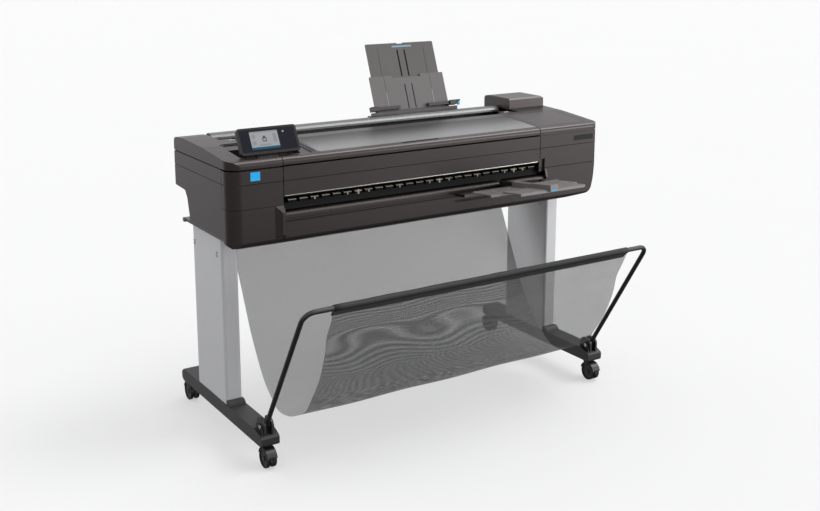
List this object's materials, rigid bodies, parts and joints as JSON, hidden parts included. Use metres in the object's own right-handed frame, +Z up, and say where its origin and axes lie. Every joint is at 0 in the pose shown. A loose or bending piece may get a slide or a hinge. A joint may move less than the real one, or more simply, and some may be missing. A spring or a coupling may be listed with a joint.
{
  "type": "large format plotter",
  "caption": "Wide-format roll printer on a two-legged rolling stand with a cloth catch bin, a tilting touchscreen, a rear sheet feeder and a front output tray.",
  "frame": {"origin": "middle of the footprint on the floor", "axes": "+Z up, -Y towards the operator, +X to the operator's right, along the width of the printer"},
  "size_m": [1.403, 0.902, 1.1829],
  "materials": {
    "belt": "matte",
    "bezel": "satin",
    "black_plastic": "satin",
    "black_steel": "satin powder coat",
    "blue_plastic": "satin",
    "board": "satin",
    "bright_bar": "polished",
    "cartridge": "satin",
    "feed_window": "clear grey",
    "front_mesh": "open weave",
    "grip_rubber": "matte",
    "inner_grey": "satin",
    "pan_metal": "satin",
    "rear_mesh": "open weave",
    "screen": "gloss",
    "silver_metal": "brushed satin",
    "smoked_window": "clear grey",
    "steel": "satin",
    "tray_grey": "satin",
    "umber_shell": "fine satin texture",
    "wheel": "satin"
  },
  "bodies": {
    "stand_and_body": {"left_foot": "black_steel", "right_foot": "black_steel", "left_column": "silver_metal", "right_column": "silver_metal", "stand_crossbeam": "black_steel", "stand_fasteners": "steel", "bail_brackets": "black_plastic", "fabric_rod": "black_steel", "rear_fabric": "rear_mesh", "base_pan": "pan_metal", "side_plates": "steel", "left_end_cap": "umber_shell", "right_end_cap": "umber_shell", "left_top_cover": "umber_shell", "right_top_cover": "umber_shell", "front_panel": "umber_shell", "rear_cover": "umber_shell", "feed_trough": "black_plastic", "rear_box": "umber_shell", "output_bar": "bright_bar", "platen": "black_plastic", "feeder_tray": "tray_grey", "carriage_rail": "steel", "carriage_belt": "belt", "drive_motors": "steel", "service_station": "inner_grey", "ink_cartridges": "cartridge", "main_board": "board", "power_supply": "steel"},
    "bail": {"bail": "black_steel", "front_fabric": "front_mesh"},
    "top_cover": {"window_frame": "umber_shell", "window_glass": "smoked_window"},
    "roll_cover": {"roll_cover": "umber_shell", "output_base": "umber_shell"},
    "output_middle": {"output_middle": "umber_shell"},
    "output_end": {"output_end": "umber_shell"},
    "ink_door": {"ink_door": "umber_shell"},
    "feed_cover": {"rear_feed_cover": "feed_window"},
    "touchscreen": {"screen_housing": "bezel", "screen_glass": "screen"},
    "tray_extension": {"tray_extension": "tray_grey"},
    "left_guide": {"left_guide": "bezel"},
    "right_guide": {"right_guide": "bezel"},
    "drive_roller": {"drive_roller": "grip_rubber"},
    "pinch_rollers": {"pinch_rollers": "inner_grey"},
    "carriage": {"carriage": "inner_grey"},
    "drive_pulley": {"drive_pulley": "steel"},
    "idler_pulley": {"idler_pulley": "steel"},
    "cutter": {"cutter": "inner_grey"},
    "spindle": {"roll_spindle": "black_plastic"},
    "spindle_hub": {"spindle_hub": "blue_plastic"},
    "front_left_caster": {"front_left_caster": "black_plastic"},
    "front_left_wheels": {"front_left_wheels": "wheel"},
    "front_right_caster": {"front_right_caster": "black_plastic"},
    "front_right_wheels": {"front_right_wheels": "wheel"},
    "rear_left_caster": {"rear_left_caster": "black_plastic"},
    "rear_left_wheels": {"rear_left_wheels": "wheel"},
    "rear_right_caster": {"rear_right_caster": "black_plastic"},
    "rear_right_wheels": {"rear_right_wheels": "wheel"}
  },
  "joints": [
    {"name": "front_left_swivel", "type": "hinge", "parent": "stand_and_body", "child": "front_left_caster", "pos_m": [-0.638, -0.16601, 0.07], "axis": [0, 0, 1], "continuous": true},
    {"name": "front_left_roll", "type": "hinge", "parent": "front_left_caster", "child": "front_left_wheels", "pos_m": [-0.638, -0.18701, 0.03], "axis": [1, 0, 0], "continuous": true},
    {"name": "front_right_swivel", "type": "hinge", "parent": "stand_and_body", "child": "front_right_caster", "pos_m": [0.638, -0.16601, 0.07], "axis": [0, 0, 1], "continuous": true},
    {"name": "front_right_roll", "type": "hinge", "parent": "front_right_caster", "child": "front_right_wheels", "pos_m": [0.638, -0.18701, 0.03], "axis": [1, 0, 0], "continuous": true},
    {"name": "rear_left_swivel", "type": "hinge", "parent": "stand_and_body", "child": "rear_left_caster", "pos_m": [-0.638, 0.39399, 0.07], "axis": [0, 0, 1], "continuous": true},
    {"name": "rear_left_roll", "type": "hinge", "parent": "rear_left_caster", "child": "rear_left_wheels", "pos_m": [-0.638, 0.41499, 0.03], "axis": [1, 0, 0], "continuous": true},
    {"name": "rear_right_swivel", "type": "hinge", "parent": "stand_and_body", "child": "rear_right_caster", "pos_m": [0.638, 0.39399, 0.07], "axis": [0, 0, 1], "continuous": true},
    {"name": "rear_right_roll", "type": "hinge", "parent": "rear_right_caster", "child": "rear_right_wheels", "pos_m": [0.638, 0.41499, 0.03], "axis": [1, 0, 0], "continuous": true},
    {"name": "bail_fold", "type": "hinge", "parent": "stand_and_body", "child": "bail", "pos_m": [0.638, -0.18101, 0.13], "axis": [1, 0, 0], "range_deg": [-36, 0]},
    {"name": "top_cover_open", "type": "hinge", "parent": "stand_and_body", "child": "top_cover", "pos_m": [0, 0.12999, 0.931], "axis": [-1, 0, 0], "range_deg": [0, 70]},
    {"name": "roll_cover_open", "type": "hinge", "parent": "stand_and_body", "child": "roll_cover", "pos_m": [0, -0.06801, 0.667], "axis": [1, 0, 0], "range_deg": [0, 75]},
    {"name": "output_middle_slide", "type": "slide", "parent": "roll_cover", "child": "output_middle", "axis": [0, 0.9934, -0.1149], "range_m": [0, 0.046]},
    {"name": "output_end_slide", "type": "slide", "parent": "output_middle", "child": "output_end", "axis": [0, 0.9934, -0.1149], "range_m": [0, 0.07]},
    {"name": "ink_door_open", "type": "hinge", "parent": "stand_and_body", "child": "ink_door", "pos_m": [-0.699, -0.06201, 0.78], "axis": [0, 0, -1], "range_deg": [0, 95]},
    {"name": "feed_cover_open", "type": "hinge", "parent": "stand_and_body", "child": "feed_cover", "pos_m": [0, 0.29399, 0.922], "axis": [-1, 0, 0], "range_deg": [0, 38]},
    {"name": "screen_tilt", "type": "hinge", "parent": "stand_and_body", "child": "touchscreen", "pos_m": [-0.543, -0.05001, 0.924], "axis": [1, 0, 0], "range_deg": [-58, 6]},
    {"name": "tray_extension_slide", "type": "slide", "parent": "stand_and_body", "child": "tray_extension", "axis": [0, -0.3584, -0.9336], "range_m": [0, 0.092]},
    {"name": "left_guide_slide", "type": "slide", "parent": "stand_and_body", "child": "left_guide", "axis": [1, 0, 0], "range_m": [0, 0.045]},
    {"name": "right_guide_slide", "type": "slide", "parent": "stand_and_body", "child": "right_guide", "axis": [-1, 0, 0], "range_m": [0, 0.045]},
    {"name": "drive_roller_turn", "type": "hinge", "parent": "stand_and_body", "child": "drive_roller", "pos_m": [0, 0.01999, 0.786], "axis": [1, 0, 0], "continuous": true},
    {"name": "pinch_rollers_turn", "type": "hinge", "parent": "stand_and_body", "child": "pinch_rollers", "pos_m": [0, 0.01999, 0.8024], "axis": [1, 0, 0], "continuous": true},
    {"name": "carriage_travel", "type": "slide", "parent": "stand_and_body", "child": "carriage", "axis": [-1, 0, 0], "range_m": [0, 1]},
    {"name": "drive_pulley_turn", "type": "hinge", "parent": "stand_and_body", "child": "drive_pulley", "pos_m": [0.6675, 0.08399, 0.85], "axis": [0, 1, 0], "range_deg": [-4700, 0]},
    {"name": "idler_pulley_turn", "type": "hinge", "parent": "stand_and_body", "child": "idler_pulley", "pos_m": [-0.6675, 0.08399, 0.85], "axis": [0, 1, 0], "range_deg": [-4700, 0]},
    {"name": "cutter_travel", "type": "slide", "parent": "stand_and_body", "child": "cutter", "axis": [-1, 0, 0], "range_m": [0, 0.94]},
    {"name": "spindle_turn", "type": "hinge", "parent": "stand_and_body", "child": "spindle", "pos_m": [0, -0.00801, 0.722], "axis": [1, 0, 0], "continuous": true},
    {"name": "hub_slide", "type": "slide", "parent": "spindle", "child": "spindle_hub", "axis": [-1, 0, 0], "range_m": [0, 0.8]}
  ],
  "couplings": [
    {"joint": "right_guide_slide", "follows": "left_guide_slide", "ratio": 1},
    {"joint": "pinch_rollers_turn", "follows": "drive_roller_turn", "ratio": -1.6667},
    {"joint": "drive_pulley_turn", "follows": "carriage_travel", "rad_per_m": -80.645},
    {"joint": "idler_pulley_turn", "follows": "carriage_travel", "rad_per_m": -80.645}
  ]
}
